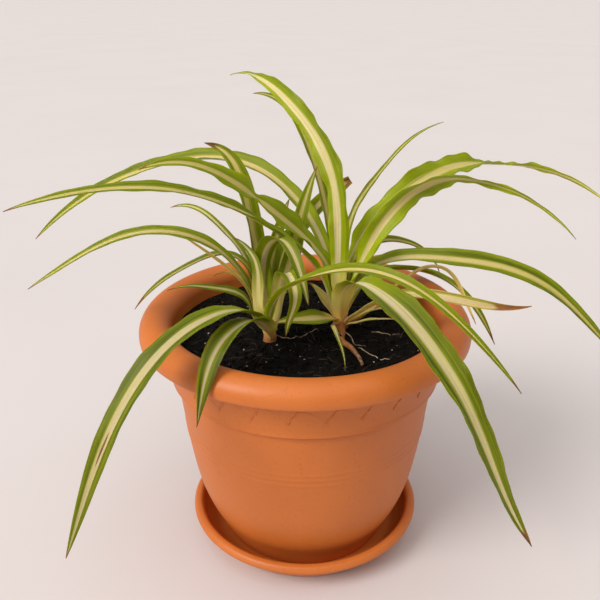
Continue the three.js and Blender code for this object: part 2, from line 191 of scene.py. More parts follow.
def make_piece(name, points, faces, material, nodes):
    """Puts points in millimetres and arrays of corner numbers into a smooth mesh, and hangs it on the
    object in place of the named solids."""
    mesh = bpy.data.meshes.new(name)
    corners = np.concatenate([group.ravel() for group in faces])
    counts = np.concatenate([np.full(len(group), group.shape[1]) for group in faces])
    mesh.vertices.add(len(points))
    mesh.vertices.foreach_set("co", (points * MM).astype(np.float32).ravel())
    mesh.loops.add(len(corners))
    mesh.loops.foreach_set("vertex_index", corners.astype(np.int32))
    mesh.polygons.add(len(counts))
    mesh.polygons.foreach_set("loop_start", (np.cumsum(counts) - counts).astype(np.int32))
    mesh.polygons.foreach_set("use_smooth", np.ones(len(counts), bool))
    mesh.update(calc_edges=True)
    mesh.materials.append(material)
    piece = bpy.data.objects.new(name, mesh)
    bpy.context.collection.objects.link(piece)
    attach(piece, "root")
    if nodes:
        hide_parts(*nodes)
    return piece


def rounded(corners):
    """A profile of straight stretches with rounded corners. Each corner gives its radius and height, how
    far from it the curve starts and ends, and the longest step along the stretch that leads to it. The
    curve is of second degree, and takes up at most 0.45 of the stretch on either side."""
    places = np.array([corner[:2] for corner in corners], float)
    bends = [places[:1]]
    for i in range(1, len(places) - 1):
        before, here, after = places[i - 1:i + 2]
        back, ahead = before - here, after - here
        back_length, ahead_length = np.hypot(*back), np.hypot(*ahead)
        cut = min(corners[i][2], 0.45 * back_length, 0.45 * ahead_length)
        t = np.linspace(0, 1, 7)[:, None] if cut > 0.01 else np.array([[0.5]])
        enter = here + back / back_length * cut
        leave = here + ahead / ahead_length * cut
        bends.append((1 - t) ** 2 * enter + 2 * t * (1 - t) * here + t ** 2 * leave)
    bends.append(places[-1:])
    profile = [bends[0]]
    for bend, corner in zip(bends[1:], corners[1:]):
        gap = bend[0] - profile[-1][-1]
        steps = int(np.hypot(*gap) // corner[3])
        between = np.arange(1, steps + 1)[:, None] / (steps + 1)
        profile += [profile[-1][-1] + between * gap, bend]
    return np.concatenate(profile)


def turned(profile, columns):
    """A profile of radius and height, from the axis and back to it, turned round the axis: each ring has
    its points at even angles, and one point closes each end. Returns points and faces."""
    angle = np.arange(columns) / columns * 2 * np.pi
    rings = profile[1:-1]
    ring_points = np.stack([
        rings[:, :1] * np.cos(angle),
        rings[:, :1] * np.sin(angle),
        np.repeat(rings[:, 1:], columns, 1),
    ], -1).reshape(-1, 3)
    ends = np.array([[0, 0, profile[0, 1]], [0, 0, profile[-1, 1]]])
    first, last = len(ring_points), len(ring_points) + 1
    here = np.arange(columns)
    after = (here + 1) % columns
    top = (len(rings) - 1) * columns
    faces = [
        grid_faces(len(rings), columns),
        np.stack([np.full(columns, first), after, here], -1),
        np.stack([np.full(columns, last), top + here, top + after], -1),
    ]
    return np.concatenate([ring_points, ends]), faces


plastic = terracotta_plastic()
saucer_profile = rounded([
    (0, 0, 0, 8), (65.6, 0, 1.2, 8), (72, 7, 6, 2), (76.8, 13.4, 4, 2), (79, 16.8, 1.5, 2),
    (81.2, 16.4, 0.8, 2), (82.2, 18.6, 1.6, 2), (80.4, 21.8, 1.8, 2), (77, 22.3, 1.6, 2),
    (75, 20.4, 1.4, 2), (73.6, 14, 3, 2), (69.6, 7.6, 4, 2), (64.5, 3, 4, 2), (0, 3, 0, 8),
])
saucer_points, saucer_faces = turned(saucer_profile, columns=240)
make_piece("saucer_fine", saucer_points, saucer_faces, plastic, ["saucer"])


# The pot: one moulding of the same plastic. A bell-shaped body with three thin raised rings, a step, a
# flared band with a fine garland of raised strokes, and a rolled rim that is hollow beneath.

def even_steps(values, t):
    """A smooth curve through values at even steps of t from 0 to 1: each stretch is the cubic whose slope
    at either end is half the difference between the values on both sides of that end."""
    values = np.asarray(values, float)
    last = len(values) - 1
    padded = np.concatenate([[2 * values[0] - values[1]], values, [2 * values[-1] - values[-2]]])
    place = np.clip(t, 0, 1) * last
    i = np.minimum(place.astype(int), last - 1)
    f = place - i
    a, b, c, d = padded[i], padded[i + 1], padded[i + 2], padded[i + 3]
    return b + 0.5 * f * (c - a + f * (2 * a - 5 * b + 4 * c - d + f * (3 * (b - c) + d - a)))


def arc(radius, height, size, start, end, count):
    """Points on a round stretch of a profile, from one angle in degrees to another."""
    angle = np.radians(np.linspace(start, end, count))
    return np.stack([radius + size * np.cos(angle), height + size * np.sin(angle)], -1)


body_radius = [58, 63.6, 70.6, 76.4, 80.6, 83.9, 87.2]
body_height = [4.9, 17, 32, 50, 72, 97, 126.4]
# The steps up the body are finest where the three rings are.
body_share = np.concatenate([
    np.linspace(0, 0.72, 26), np.linspace(0.725, 0.86, 24), np.linspace(0.88, 1, 6),
])
pot_body = np.stack([even_steps(body_radius, body_share), even_steps(body_height, body_share)], -1)
pot_foot = rounded([
    (0, 6.3, 0, 9), (52, 6.3, 0.6, 9), (53, 3.3, 0.6, 2), (57, 3.3, 0.8, 2), (58, 4.9, 0, 2),
])
pot_band = rounded([
    (87.2, 126.4, 0, 2), (87, 128.6, 0.4, 2), (91, 128.8, 0.6, 2), (90.6, 131.4, 0.8, 2),
    (91.4, 141, 4, 2), (93.4, 150, 4, 2), (95, 157.6, 0.3, 2),
])
pot_rim = np.concatenate([
    arc(99.6, 162.7, 5, 172, 12, 10),
    arc(106.2, 158.5, 1, 200, 330, 5),
    arc(99, 161.7, 11, -12, 180, 34),
])
pot_inside = rounded([
    (88, 161.7, 0, 3), (87.4, 157.7, 3, 3), (85.4, 138, 3, 6), (83.4, 118, 3, 6), (80.4, 93, 3, 6),
    (76.2, 66, 3, 8), (70, 42, 3, 8), (62, 20, 3, 8), (56, 9.5, 2, 6), (0, 9.5, 0, 9),
])
pot_profile = np.concatenate([pot_foot[:-1], pot_body[:-1], pot_band, pot_rim[:-1], pot_inside])
pot_points, pot_faces = turned(pot_profile, columns=360)

RING_LEVELS = (97, 93, 88.5)
RING_HEIGHT = 0.45
RING_SPREAD = 0.75
turn = np.arctan2(pot_points[:, 1], pot_points[:, 0])
outward = np.hypot(pot_points[:, 0], pot_points[:, 1])
level = pot_points[:, 2]
on_body = (level > 80) & (level < 104) & (outward > 81)  # the outer face of the wall
relief = np.zeros(len(pot_points))
for ring_level in RING_LEVELS:
    away = (level[on_body] - ring_level) / RING_SPREAD
    relief[on_body] += RING_HEIGHT * np.exp(-(away ** 2))
pot_points[:, 0] += relief * np.cos(turn)
pot_points[:, 1] += relief * np.sin(turn)


def tubes(routes, sizes, sides=5):
    """Thin closed strands: each route is a row of places, and a ring of points goes round every place,
    square to the route. The rings shrink evenly, to 0.35 of a strand's size at its end. Returns points and
    faces."""
    ahead = np.gradient(routes, axis=1)
    ahead /= np.linalg.norm(ahead, axis=-1, keepdims=True)
    off_route = [0.13, 0.21, 0.97]  # a direction in which no route runs
    first = np.cross(ahead, off_route)
    first /= np.linalg.norm(first, axis=-1, keepdims=True)
    second = np.cross(ahead, first)
    angle = np.arange(sides) / sides * 2 * np.pi
    count, steps = routes.shape[:2]
    thin = np.linspace(1, 0.35, steps)[None, :, None, None] * np.asarray(sizes)[:, None, None, None]
    ring = first[:, :, None] * np.cos(angle)[:, None] + second[:, :, None] * np.sin(angle)[:, None]
    points = routes[:, :, None] + ring * thin
    shift = steps * sides * np.arange(count)[:, None, None]
    around = (grid_faces(steps, sides)[None] + shift).reshape(-1, 4)
    start = (np.arange(sides)[::-1][None] + shift[:, 0]).reshape(-1, sides)
    end = (np.arange(sides)[None] + (steps - 1) * sides + shift[:, 0]).reshape(-1, sides)
    return points.reshape(-1, 3), [around, start, end]


REPEATS = 26
BAND_RADIUS = 92


def garland():
    """Routes of the raised lines on the band. Each repeat is a lower and an upper stroke, both leaning to
    the right, and a shallow sag from the top of one pair to the foot of the next; their distances round
    the band are turned into angles, and each point lies on the band's surface at its height."""
    pitch = 2 * np.pi * BAND_RADIUS / REPEATS
    t = np.linspace(0, 1, 10)
    lower = np.stack([0.4 + 2.6 * t, 138.4 + 4.6 * t + 0.5 * np.sin(np.pi * t)], -1)
    upper = np.stack([3.6 + 2.6 * t, 143.6 + 4.8 * t - 0.5 * np.sin(np.pi * t)], -1)
    sag = np.stack([6.2 + (pitch - 5.8) * t, 148.4 - 9.4 * t ** 1.6 + 1.2 * np.sin(np.pi * t)], -1)
    lines = np.stack([lower, upper, sag])
    angle = (lines[..., 0] + pitch * np.arange(REPEATS)[:, None, None]) / BAND_RADIUS
    height = lines[..., 1] + 0 * angle
    outward = np.interp(height, pot_band[:, 1], pot_band[:, 0])
    places = np.stack([outward * np.cos(angle), outward * np.sin(angle), height], -1)
    return places.reshape(-1, len(t), 3)


line_sizes = np.tile([0.7, 0.7, 0.16], REPEATS)  # the two strokes and the sag of each repeat
line_points, line_faces = tubes(garland(), line_sizes, sides=8)
pot_faces += [group + len(pot_points) for group in line_faces]
pot_points = np.concatenate([pot_points, line_points])
make_piece("pot_fine", pot_points, pot_faces, plastic, ["pot"])


# The potting mix: dark peat and bark fibre that fills the pot to 15 mm below the top of its rim. Its top is
# crumbly, with loose crumbs, strands of fibre and white perlite lying on it.

SOIL_LEVEL = 157
CROWNS = {"left": (-23, -21, SOIL_LEVEL), "right": (24, 0, SOIL_LEVEL)}
draw = np.random.default_rng(12)
hill_table = draw.random((61, 61))


def hills(x, y, size):
    """Smooth random hills, 0 high on average: heights from a square table, size millimetres apart, are
    joined by a soft step in both directions. The 500 keeps the table's rows and columns above 0."""
    across, down = x / size + 500, y / size + 500
    i, j = np.floor(across).astype(int), np.floor(down).astype(int)
    f, g = across - i, down - j
    f, g = f * f * (3 - 2 * f), g * g * (3 - 2 * g)
    count = len(hill_table)
    i, j, next_i, next_j = i % count, j % count, (i + 1) % count, (j + 1) % count
    near = hill_table[i, j] * (1 - f) + hill_table[next_i, j] * f
    far = hill_table[i, next_j] * (1 - f) + hill_table[next_i, next_j] * f
    return near * (1 - g) + far * g - 0.5


def soil_height(x, y):
    """Height of the potting mix: four sizes of hills on top of each other, with a rise round each crown.
    They sink to a quarter of their height over the last 10 mm to the wall."""
    height = 3.2 * hills(x, y, 24) + 2.2 * hills(x, y, 9.3)
    height += 1.5 * hills(y, x, 4.1) + 0.9 * hills(x, y, 1.9)
    for centre_x, centre_y, _ in CROWNS.values():
        height += 2.0 * np.exp(-((x - centre_x) ** 2 + (y - centre_y) ** 2) / 260)
    return SOIL_LEVEL - 0.8 + height * np.clip((89 - np.hypot(x, y)) / 10, 0.25, 1)


def soil_material():
    """Near-black peat with brown and reddish fibres in it, rough all over and damp in the dips."""
    material, start = new_material("potting mix")
    place = start.add("ShaderNodeTexCoord", output="Object")
    coarse = place.noise(160, 5, 0.65)
    fine = place.noise(700, 4, 0.7)
    bark = place.stretched(1, 0.35, 1).noise(330, 3, 0.6).rises(0.6, 0.72)
    earth = coarse.rises(0.35, 0.75).between(colour(4, 3, 2), colour(15, 11, 8))
    earth = (bark * 0.6).between(earth, colour(46, 30, 23))
    earth = (fine.rises(0.72, 0.82) * 0.3).between(earth, colour(112, 92, 78))
    set_surface(material, {
        "Base Color": earth,
        "Roughness": 0.7 + 0.25 * fine,
        "Specular IOR Level": 0.12,
        "Normal": (coarse + fine).bump(0.8, 0.0006),
    })
    return material


potting_mix = soil_material()
soil_side = rounded([
    (0, 9.9, 0, 12), (55.4, 9.9, 1, 12), (61.6, 20, 3, 12), (69.6, 42, 3, 12), (75.8, 66, 3, 12),
    (80, 93, 3, 12), (83, 118, 3, 12), (85, 138, 3, 12), (86.6, 150, 3, 12), (87.2, SOIL_LEVEL, 0, 6),
])
top_radius = np.linspace(86.4, 0, 104)
soil_top = np.stack([top_radius, np.full(len(top_radius), SOIL_LEVEL)], -1)
soil_points, soil_faces = turned(np.concatenate([soil_side, soil_top]), columns=420)
on_top = soil_points[:, 2] > SOIL_LEVEL - 0.1
soil_points[on_top, 2] = soil_height(soil_points[on_top, 0], soil_points[on_top, 1])
make_piece("soil_fine", soil_points, soil_faces, potting_mix, ["soil"])


LOOSE_REACH = 84
CRUMBS = 1500
STRANDS = 260
GRAINS = 90


def scattered(count):
    """Places spread evenly over the potting mix, and the height of its surface there."""
    away = LOOSE_REACH * np.sqrt(draw.random(count))
    angle = draw.random(count) * 2 * np.pi
    x, y = away * np.cos(angle), away * np.sin(angle)
    return np.stack([x, y, soil_height(x, y)], -1)


def lumps(places, sizes):
    """Closed lumps of 20 faces: a regular solid with 12 corners, each corner pulled in or out, the whole
    stretched and turned at random. Returns points and faces."""
    golden = (1 + 5 ** 0.5) / 2
    corners = np.array([
        (-1, golden, 0), (1, golden, 0), (-1, -golden, 0), (1, -golden, 0),
        (0, -1, golden), (0, 1, golden), (0, -1, -golden), (0, 1, -golden),
        (golden, 0, -1), (golden, 0, 1), (-golden, 0, -1), (-golden, 0, 1),
    ]) / math.hypot(1, golden)
    faces = np.array([
        (0, 11, 5), (0, 5, 1), (0, 1, 7), (0, 7, 10), (0, 10, 11), (1, 5, 9), (5, 11, 4), (11, 10, 2),
        (10, 7, 6), (7, 1, 8), (3, 9, 4), (3, 4, 2), (3, 2, 6), (3, 6, 8), (3, 8, 9), (4, 9, 5),
        (2, 4, 11), (6, 2, 10), (8, 6, 7), (9, 8, 1),
    ])
    count = len(places)
    shaped = corners * draw.uniform(0.72, 1.2, (count, 12, 1)) * draw.uniform(0.6, 1.25, (count, 1, 3))
    turn = draw.random(count) * 2 * np.pi
    x = shaped[..., 0] * np.cos(turn)[:, None] - shaped[..., 1] * np.sin(turn)[:, None]
    y = shaped[..., 0] * np.sin(turn)[:, None] + shaped[..., 1] * np.cos(turn)[:, None]
    points = np.stack([x, y, shaped[..., 2]], -1) * sizes[:, None, None] + places[:, None]
    return points.reshape(-1, 3), (faces + 12 * np.arange(count)[:, None, None]).reshape(-1, 3)


crumb_places = scattered(CRUMBS)
crumb_points, crumb_faces = lumps(crumb_places, draw.uniform(0.5, 1.0, CRUMBS) ** 3 * 2.1)
make_piece("crumbs", crumb_points, [crumb_faces], potting_mix, [])

# Each strand bends evenly over its seven places, and those that would reach the wall are left out.
strand_places = scattered(STRANDS)
strand_turn = draw.random((STRANDS, 1)) * 2 * np.pi
strand_turn = strand_turn + draw.normal(0, 0.9, (STRANDS, 1)) * np.linspace(0, 1, 7)
strand_step = draw.uniform(0.5, 2.2, (STRANDS, 1))
strand_x = strand_places[:, :1] + np.cumsum(np.cos(strand_turn) * strand_step, 1)
strand_y = strand_places[:, 1:2] + np.cumsum(np.sin(strand_turn) * strand_step, 1)
strand_z = soil_height(strand_x, strand_y) + 0.35 + draw.uniform(-0.5, 0.6, (STRANDS, 1))
fits = np.hypot(strand_x, strand_y).max(1) < 85
strand_routes = np.stack([strand_x, strand_y, strand_z], -1)[fits]
strand_points, strand_faces = tubes(strand_routes, draw.uniform(0.12, 0.3, len(strand_routes)))
bark_fibre, start = new_material("bark fibre")
tone = start.add("ShaderNodeTexCoord", output="Object").noise(45, 2)
set_surface(bark_fibre, {
    "Base Color": tone.rises(0.35, 0.65).between(colour(18, 13, 10), colour(70, 50, 38)),
    "Roughness": 0.85,
})
make_piece("bark_fibres", strand_points, strand_faces, bark_fibre, [])

grain_places = scattered(GRAINS)
grain_points, grain_faces = lumps(grain_places, draw.uniform(0.3, 1.0, GRAINS) ** 2)
perlite, start = new_material("perlite")
tone = start.add("ShaderNodeTexCoord", output="Object").noise(600, 3)
set_surface(perlite, {
    "Base Color": tone.rises(0.4, 0.65).between(colour(120, 106, 94), colour(196, 184, 172)),
    "Roughness": 0.9,
    "Normal": tone.bump(0.6, 0.0003),
})
make_piece("perlite_grains", grain_points, [grain_faces], perlite, [])


# The crowns: short fleshy stems, ringed with the scars of old leaves and wrapped in pale leaf bases. The
# right one has a thick tan root that has come up beside it and runs over the potting mix.

def stem_material():
    """Pale fleshy tissue: cream above, tan and orange-brown towards the potting mix, with dark scars. The
    far end of the root, more than 32 mm in front of the middle, is mottled with dark skin."""
    material, start = new_material("stem")
    place = start.add("ShaderNodeTexCoord", output="Object")
    clouds = place.noise(150, 4, 0.6)
    scars = place.stretched(0.35, 0.35, 1).noise(420, 3, 0.6).rises(0.6, 0.74)
    mottled = place.noise(420, 4, 0.7).rises(0.35, 0.6)
    far = place.part(1).rises(-0.032, -0.048)
    low = place.part(2).rises(0.174, 0.161)
    damp = place.part(2).rises(0.164, 0.158)
    flesh = low.between(colour(222, 200, 140), colour(200, 134, 74))
    flesh = (clouds.rises(0.4, 0.75) * 0.5 + damp * 0.5).between(flesh, colour(140, 82, 44))
    flesh = (scars * low * 0.4).between(flesh, colour(112, 66, 36))
    flesh = (far * 0.9).between(flesh, mottled.between(colour(150, 112, 78), colour(52, 34, 26)))
    set_surface(material, {
        "Base Color": flesh,
        "Roughness": 0.6,
        "Normal": (scars + clouds).bump(0.5, 0.0005),
    })
    return material


stem_tissue = stem_material()
STEM_WIDTHS = {"left": 0.62, "right": 0.78}  # of the widest stem's
ROOT_RADIUS = 2.6
ROOT_ROUTE = np.array([
    (24, -3, 160), (24.2, -15, 157.6), (24.6, -25, 158.6), (28.7, -38.6, 160.8), (33, -50, 161),
    (33.8, -58, 159.6),
])
for crown, centre in CROWNS.items():
    wide = STEM_WIDTHS[crown]
    stem_profile = rounded([
        (0, -28, 0, 3), (4.4, -26.5, 2, 3), (6.2, -12, 3, 2), (7.2 * wide, -3, 4, 1), (7.0 * wide, 3, 4, 0.8),
        (5.9 * wide, 8, 4, 0.8), (4.6 * wide, 14, 2, 0.8), (2, 17.4, 1, 1), (0, 17.6, 0, 2),
    ])
    points, faces = turned(stem_profile, columns=48)
    # Three soft ridges wind up the stem, and the scars of old leaves ring it.
    angle = np.arctan2(points[:, 1], points[:, 0])
    swell = 1 + 0.05 * np.sin(3 * angle + 0.4 * points[:, 2]) + 0.012 * np.sin(1.9 * points[:, 2])
    points[:, :2] *= swell[:, None]
    points += centre
    if crown == "right":
        share = np.linspace(0, 1, 60)
        route = np.stack([even_steps(ROOT_ROUTE[:, k], share) for k in range(3)], -1)
        route[:, 0] += 0.5 * np.sin(14 * share)
        root_points, root_faces = tubes(route[None], [ROOT_RADIUS], sides=14)
        faces = faces + [group + len(points) for group in root_faces]
        points = np.concatenate([points, root_points])
    make_piece(f"crown_{crown}_fine", points, faces, stem_tissue, [f"crown_{crown}"])


# The leaves: thin ribbons with a cream stripe between green margins, folded along the middle and wrapped
# round the crown with their broad pale bases. The old ones are straw-coloured and dry.

# Four rings round a crown, the oldest lowest: the radius and the height at which the blades set out.
RINGS = {"low": (8.3, 2.6), "outer": (7.4, 7.0), "middle": (6.6, 12.0), "inner": (3.4, 17.4)}
# Radius of each crown's neck, and the height on it at which the leaves of each ring come out.
NECKS = {
    "left": (3.0, {"low": 0, "outer": 2, "middle": 4, "inner": 6}),
    "right": (3.4, {"low": -1, "outer": 1, "middle": 3, "inner": 5}),
}

# The ring and the side that each leaf grows from, its length, width and lift in millimetres and its fold,
# then its rise at five even steps, its heading at three and its roll at the middle and the tip, in degrees.
LEAVES = {
    "left_01": ("outer", 263, 229, 18, 0.1, 0.3,
               (66, 11, -41, -61, -63), (252, 216, 231), (-6, -67)),
    "left_02": ("low", 279, 123, 17, 0, 0.35,
               (55, 40, -9, -54, -66), (269, 234, 255), (9, -78)),
    "left_03": ("outer", 208, 79, 6, -0.8, 0.3,
               (63, 78, 19, 8, -17), (209, 190, 191), (-37, 1)),
    "left_04": ("outer", 134, 133, 8, -0.3, 0.5,
               (77, 71, -16, -31, -53), (129, 171, 196), (-4, -59)),
    "left_05": ("middle", 176, 184, 11, -0.2, 0.4,
               (88, 50, 5, -25, -28), (180, 182, 204), (-19, -25)),
    "left_06": ("low", 169, 92, 4, 0, 0.3,
               (88, 78, 44, 37, 35), (170, 172, 180), (-16, -33)),
    "left_07": ("low", 100, 127, 9, -0.1, 0.4,
               (47, 59, 31, 27, -23), (116, 131, 164), (26, -71)),
    "left_08": ("middle", 220, 69, 9, 0.3, 0.3,
               (100, 103, 94, 43, 20), (62, 109, 156), (-49, -91)),
    "left_09": ("inner", -97, 115, 13, 0, 0.4,
               (98, 92, 38, -45, -73), (-13, -56, -52), (-18, 56)),
    "left_10": ("inner", 139, 123, 19, 0.8, 0.45,
               (84, 59, 70, 65, 5), (109, 122, 173), (31, -96)),
    "left_11": ("outer", 96, 62, 8, -0.6, 0.3,
               (48, 44, 51, 54, 59), (102, 78, 53), (108, -22)),
    "left_12": ("middle", 97, 83, 12, 0.8, 0.4,
               (85, 59, 51, 54, 55), (102, 74, 49), (48, 30)),
    "left_13": ("inner", 67, 101, 13, 0, 0.4,
               (61, 52, 64, 66, 68), (52, 61, 15), (57, 41)),
    "left_14": ("outer", 71, 123, 16, 0.8, 0.4,
               (60, 52, 35, 35, 31), (84, 60, 10), (8, 71)),
    "left_15": ("middle", -97, 228, 9, 0, 0.6,
               (60, 36, 19, -33, -53), (-84, -42, -10), (25, 68)),
    "left_16": ("low", 326, 107, 12, -0.1, 0.5,
               (99, 82, 35, -103, -96), (331, 289, 342), (0, 74)),
    "left_17": ("low", 132, 59, 4, 0.8, 0.3,
               (65, 79, 56, 23, -30), (112, 154, 197), (-13, -27)),
    "right_01": ("inner", 220, 222, 16, 0.9, 0.35,
               (97, 86, 44, 19, -15), (97, 128, 125), (-75, 8)),
    "right_02": ("outer", 101, 174, 12, 0, 0.4,
               (69, 69, 65, 55, -7), (97, 127, 157), (18, -83)),
    "right_03": ("low", 91, 175, 6, -0.1, 0.5,
               (60, 71, 34, 38, 14), (86, 54, 13), (-4, 43)),
    "right_04": ("inner", 47, 287, 20, 0.8, 0.5,
               (96, 39, -3, -13, -41), (-14, 40, -21), (21, -133)),
    "right_05": ("inner", -74, 230, 17, 0, 0.55,
               (69, 62, 0, -21, -41), (-43, 35, -47), (111, 88)),
    "right_06": ("outer", -6, 232, 15, 0.8, 0.7,
               (106, 14, -6, -42, -46), (-3, -15, 11), (43, 58)),
    "right_07": ("middle", 123, 321, 18, 0.7, 0.6,
               (87, 37, -7, -25, -45), (131, 155, 186), (-17, -66)),
    "right_08": ("inner", 128, 179, 17, 0.2, 0.5,
               (85, 49, 40, 30, -20), (159, 219, 194), (-54, -43)),
    "right_09": ("outer", 208, 244, 15, -0.3, 0.4,
               (90, 45, 28, 2, -16), (213, 205, 194), (-12, -30)),
    "right_10": ("outer", 263, 255, 24, 0.3, 0.42,
               (83, 11, -37, -64, -57), (274, 313, 351), (4, 44)),
    "right_11": ("low", 56, 166, 12, 0, 0.6,
               (75, 8, -19, -46, -66), (59, 14, -29), (-9, 95)),
    "right_12": ("low", 19, 116, 6, 0.8, 0.3,
               (40, 41, 32, -53, -47), (11, -16, -58), (-4, 36)),
    "right_13": ("low", 303, 133, 13, 0.8, 0.5,
               (62, 33, 7, -7, 3), (313, 334, 375), (10, 71)),
    "right_14": ("low", 344, 31, 8, 0.9, 0.3,
               (43, 45, 44, 28, 6), (352, 342, 345), (24, 28)),
    "right_15": ("middle", 64, 109, 9, -0.2, 0.4,
               (80, 72, 9, -27, -69), (54, 15, 0), (17, 33)),
    "right_16": ("outer", 56, 73, 8, 0.8, 0.5,
               (64, 81, 24, 5, 18), (63, 22, 14), (13, 45)),
    "right_17": ("low", 234, 57, 14, 0.9, 0.35,
               (68, 25, 15, 9, -9), (243, 222, 195), (-26, -20)),
    "right_18": ("low", 125, 32, 10, 0.9, 0.4,
               (74, 54, 57, 56, 34), (136, 181, 200), (-29, -24)),
    "right_19": ("low", 246, 63, 4, -0.5, 0.3,
               (28, 31, -17, -16, -22), (246, 284, 266), (21, 25)),
}

# Two narrow dry leaves, thin as straw, at the right crown's foot, in the same terms.
STRIPS = {
    "right_20": ("low", 322, 47, 4.2, -0.4, 0.3, (62, 46, 16, 2, -6), (-24, -8, 2), (0, 10)),
    "right_21": ("low", 304, 40, 3.4, -1.0, 0.3, (52, 34, 14, 4, -10), (-36, -18, -6), (0, -10)),
}

# What sets single leaves apart. Places along a leaf run from 0 at the crown to 1 at the tip.
# stripe is the cream stripe's share of the width, shift its distance from the middle, and pale whitens it.
# age runs from -1, fresh, to 1, dry. tip is the brown end in millimetres, and scar a browned place.
# wave is the height of the waves of the edges. base is half the width of the clasping base, and narrow how
# much slimmer the leaf is near it. slim is the place from which the leaf is slimmer, and how wide it then
# is, pinch a place where it is drawn in, and blunt keeps the tip broad.
USUAL = {
    "shift": 0, "pale": 0, "age": -0.5, "tip": 1, "scar": 3, "wave": 0.2, "narrow": 0, "slim": (1, 1),
    "pinch": 2, "blunt": 0,
}
LOOKS = {
    "left_01": {"stripe": 0.27, "wave": 0.5, "age": 0, "scar": 0.72, "tip": 2, "base": 3.4, "pale": 0.2},
    "left_02": {"stripe": 0.2, "age": 0, "tip": 2, "base": 3.2, "pale": 0.35},
    "left_03": {"stripe": 0.23, "age": -0.1, "tip": 3},
    "left_04": {"stripe": 0.27, "tip": 9},
    "left_05": {"stripe": 0.31, "wave": 0.4, "tip": 3},
    "left_06": {"stripe": 0.39, "age": 0.62, "tip": 5},
    "left_07": {"stripe": 0.33, "tip": 3, "pale": 0.4},
    "left_08": {"stripe": 0.33, "tip": 2, "pale": 0.5},
    "left_09": {"stripe": 0.31, "age": -0.1, "base": 4.5, "pale": 0.2},
    "left_10": {"stripe": 0.3, "tip": 7, "base": 4.5},
    "left_11": {"stripe": 0.31, "tip": 2},
    "left_12": {"stripe": 0.31, "tip": 2},
    "left_13": {"stripe": 0.3, "tip": 2},
    "left_14": {"stripe": 0.28, "age": -0.2, "tip": 3, "blunt": 1.0},
    "left_15": {"stripe": 0.2, "tip": 6, "base": 4},
    "left_16": {"stripe": 0.33, "pale": 0.6, "tip": 1},
    "left_17": {"stripe": 0.39, "age": 0.8, "tip": 6},
    "right_01": {"stripe": 0.34, "wave": 1.9, "age": -0.9, "base": 5.5, "pale": 0.45, "shift": -0.2},
    "right_02": {"stripe": 0.31, "wave": 0.6, "base": 4},
    "right_03": {"stripe": 0.31, "wave": 0.4, "base": 4},
    "right_04": {"stripe": 0.3, "wave": 2.0, "age": -0.9, "base": 5, "slim": (0.52, 0.45)},
    "right_05": {"stripe": 0.3, "wave": 1.9, "age": -0.9, "base": 4.5, "tip": 3, "slim": (0.5, 0.45)},
    "right_06": {"stripe": 0.27, "wave": 0.5, "age": -0.35, "base": 5},
    "right_07": {"stripe": 0.28, "wave": 0.6, "tip": 4, "base": 4},
    "right_08": {"stripe": 0.28, "wave": 1.8, "age": -0.7, "base": 4, "tip": 3, "pinch": 0.56},
    "right_09": {"stripe": 0.3, "wave": 0.7, "tip": 4, "base": 4},
    "right_10": {"stripe": 0.26, "wave": 1.0, "age": -0.25, "tip": 10, "base": 7, "pale": 0.6},
    "right_11": {"stripe": 0.28, "tip": 9, "base": 4},
    "right_12": {"stripe": 0.6, "age": 0.8, "tip": 4, "base": 1.6, "pale": 0.5, "narrow": 0.5},
    "right_13": {"stripe": 0.62, "age": 0.42, "tip": 22, "base": 1.6, "pale": 0.7, "narrow": 0.5},
    "right_14": {"stripe": 0.47, "age": 0.95, "tip": 8},
    "right_15": {"stripe": 0.31, "tip": 4},
    "right_16": {"stripe": 0.5, "age": 0.6, "tip": 8, "pale": 0.8},
    "right_17": {"stripe": 0.3, "tip": 1},
    "right_18": {"stripe": 0.47, "pale": 0.6, "tip": 2},
    "right_19": {"stripe": 0.3, "age": 0.25, "tip": 3, "pale": 0.4, "slim": (0, 0.7)},
    "right_20": {"stripe": 0.8, "age": 0.3, "tip": 3, "base": 1.4, "pale": 0.9},
    "right_21": {"stripe": 0.6, "age": 0, "tip": 5, "base": 1.2, "pale": 0.8},
}


